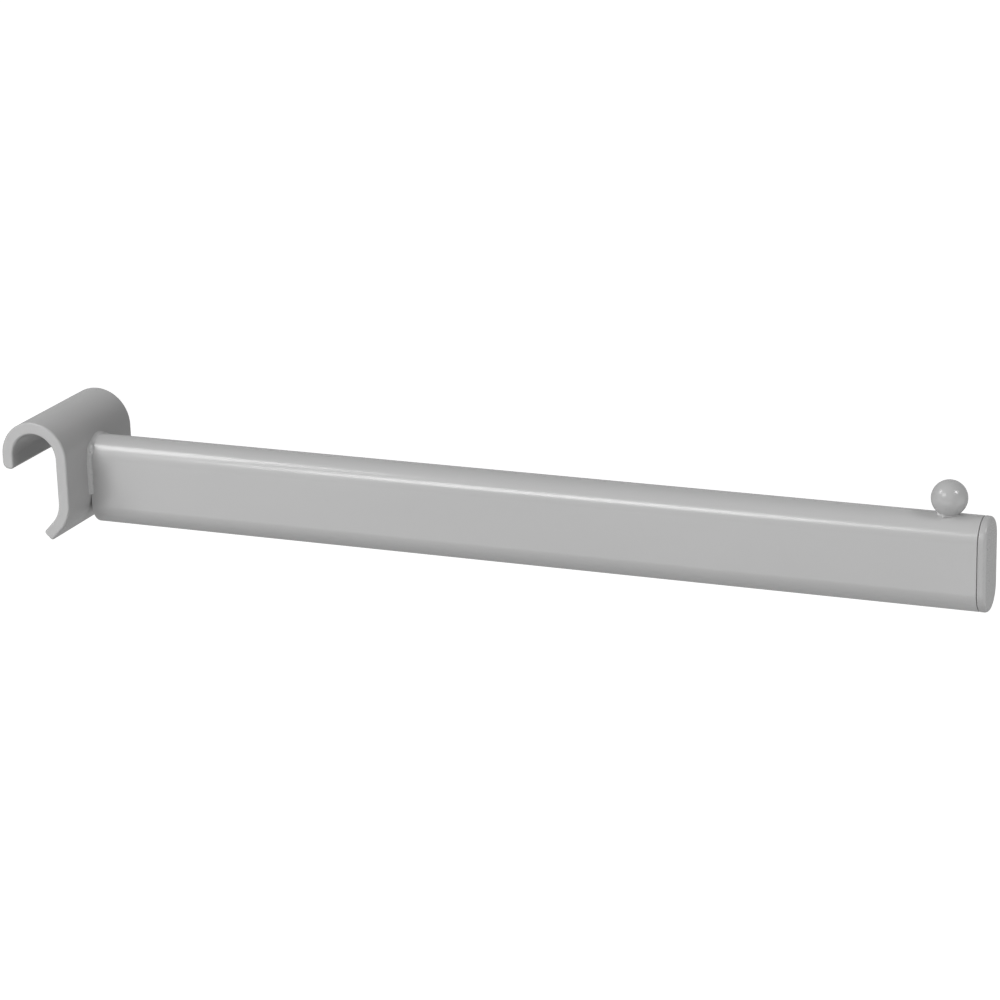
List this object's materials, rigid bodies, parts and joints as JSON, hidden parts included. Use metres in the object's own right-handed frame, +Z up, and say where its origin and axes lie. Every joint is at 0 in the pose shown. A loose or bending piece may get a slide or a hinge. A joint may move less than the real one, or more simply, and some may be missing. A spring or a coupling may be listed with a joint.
{
  "type": "display wall arm",
  "caption": "Straight flat oval arm on a bent strip hook that hangs on a flat oval wall bar, with a ball stop and a moulded cap at its outer end.",
  "frame": {"origin": "centre of the hook's half-round seat, at the middle of the strip's width", "axes": "+X out along the arm, away from the wall; +Y along the bar that carries the hook; +Z up"},
  "size_m": [0.3268, 0.045, 0.0412],
  "materials": {
    "coated_steel": "neutral grey powder coat, semi-gloss, on mild steel",
    "coated_weld": "the same powder coat over the weld's ripples",
    "cap_plastic": "moulded plastic in a matching grey, satin"
  },
  "bodies": {
    "root": {"hook_strip": "coated_steel", "arm_tube": "coated_steel", "tube_weld": "coated_weld", "ball_stop": "coated_steel", "ball_weld": "coated_weld", "end_cap": "cap_plastic"}
  },
  "joints": []
}
